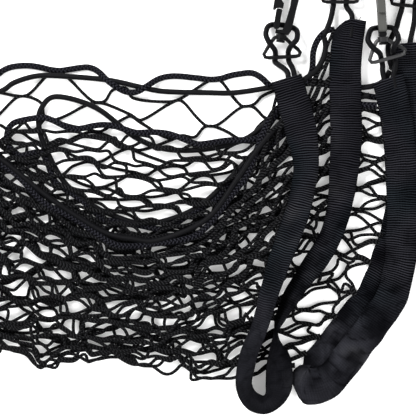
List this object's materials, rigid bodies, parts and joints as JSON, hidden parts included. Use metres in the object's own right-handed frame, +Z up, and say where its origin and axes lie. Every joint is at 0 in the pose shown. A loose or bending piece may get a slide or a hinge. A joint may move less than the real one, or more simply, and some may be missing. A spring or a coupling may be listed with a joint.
{
  "type": "elastic cargo net",
  "caption": "Black braided cargo net lying in a folded heap, with ribbed webbing sleeves on its ends, elastic along its long edges and a plastic snap hook at each corner.",
  "frame": {"origin": "middle of the heap's outline seen from above, on the surface that it lies on", "axes": "+X to the right of the picture, along the longest side of the heap, from the folded end towards the sleeves; +Y up the picture, towards the hooks; +Z up"},
  "size_m": [0.425, 0.382, 0.0347],
  "materials": {
    "cord_black": "braided black cord, matt",
    "webbing_black": "ribbed black webbing, matt",
    "elastic_black": "smooth woven black elastic cord",
    "hook_plastic": "moulded black plastic, satin",
    "gate_plastic": "moulded black plastic, satin"
  },
  "bodies": {
    "net_body": {"net": "cord_black", "sleeve_a": "webbing_black", "sleeve_b": "webbing_black", "elastic_near": "elastic_black", "elastic_far": "elastic_black", "loop_1": "elastic_black", "eye_1": "hook_plastic", "hook_1": "hook_plastic", "loop_2": "elastic_black", "eye_2": "hook_plastic", "hook_2": "hook_plastic", "loop_3": "elastic_black", "eye_3": "hook_plastic", "hook_3": "hook_plastic", "loop_4": "elastic_black", "eye_4": "hook_plastic", "hook_4": "hook_plastic"},
    "gate_1_body": {"gate_1": "gate_plastic"},
    "gate_2_body": {"gate_2": "gate_plastic"},
    "gate_3_body": {"gate_3": "gate_plastic"},
    "gate_4_body": {"gate_4": "gate_plastic"}
  },
  "joints": [
    {"name": "gate_1_hinge", "type": "hinge", "parent": "net_body", "child": "gate_1_body", "pos_m": [0.09216, 0.11168, 0.0083], "axis": [0, 0, -1], "range_deg": [0, 16], "stiffness_Nm_per_rad": 0.02, "springref_deg": -6.88},
    {"name": "gate_2_hinge", "type": "hinge", "parent": "net_body", "child": "gate_2_body", "pos_m": [0.13685, 0.15403, 0.0083], "axis": [0, 0, -1], "range_deg": [0, 16], "stiffness_Nm_per_rad": 0.02, "springref_deg": -6.88},
    {"name": "gate_3_hinge", "type": "hinge", "parent": "net_body", "child": "gate_3_body", "pos_m": [0.17416, 0.10902, 0.0178], "axis": [-0.9981, -0.0611, 0], "range_deg": [0, 16], "stiffness_Nm_per_rad": 0.02, "springref_deg": -6.88},
    {"name": "gate_4_hinge", "type": "hinge", "parent": "net_body", "child": "gate_4_body", "pos_m": [0.19257, 0.15142, 0.0083], "axis": [0, 0, -1], "range_deg": [0, 16], "stiffness_Nm_per_rad": 0.02, "springref_deg": -6.88}
  ]
}
